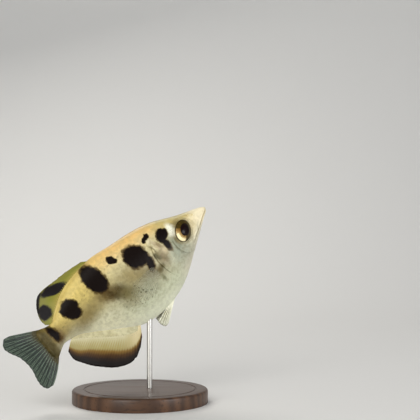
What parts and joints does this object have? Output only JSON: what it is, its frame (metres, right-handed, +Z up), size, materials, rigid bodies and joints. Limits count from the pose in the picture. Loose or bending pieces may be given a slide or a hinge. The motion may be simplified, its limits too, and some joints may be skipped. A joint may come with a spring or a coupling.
{
  "type": "archerfish model on a display stand",
  "caption": "Life-size archerfish aiming up at the surface, fins spread and tail swung to one side, held by a plain rod on a round base.",
  "frame": {"origin": "centre of the stand base's flat underside", "axes": "+Z up; the fish's snout points towards +X and up, its right side towards -Y"},
  "size_m": [0.0908, 0.0679, 0.0922],
  "materials": {
    "skin": "wet scaled skin, gold on the back and silver-white below, with black blotches",
    "fin": "thin half-clear fin skin with raised rays",
    "eye": "glossy clear eye with a gold iris and a dark pupil",
    "stand_wood": "dark satin wood",
    "stand_metal": "brushed"
  },
  "bodies": {
    "root": {"head": "skin", "lower_jaw": "skin", "trunk": "skin", "tail": "skin", "eye_right": "eye", "eye_left": "eye", "dorsal_fin": "fin", "anal_fin": "fin", "caudal_fin": "fin", "pectoral_fin_right": "fin", "pectoral_fin_left": "fin", "pelvic_fin_right": "fin", "pelvic_fin_left": "fin", "stand_base": "stand_wood", "stand_rod": "stand_metal"}
  },
  "joints": []
}
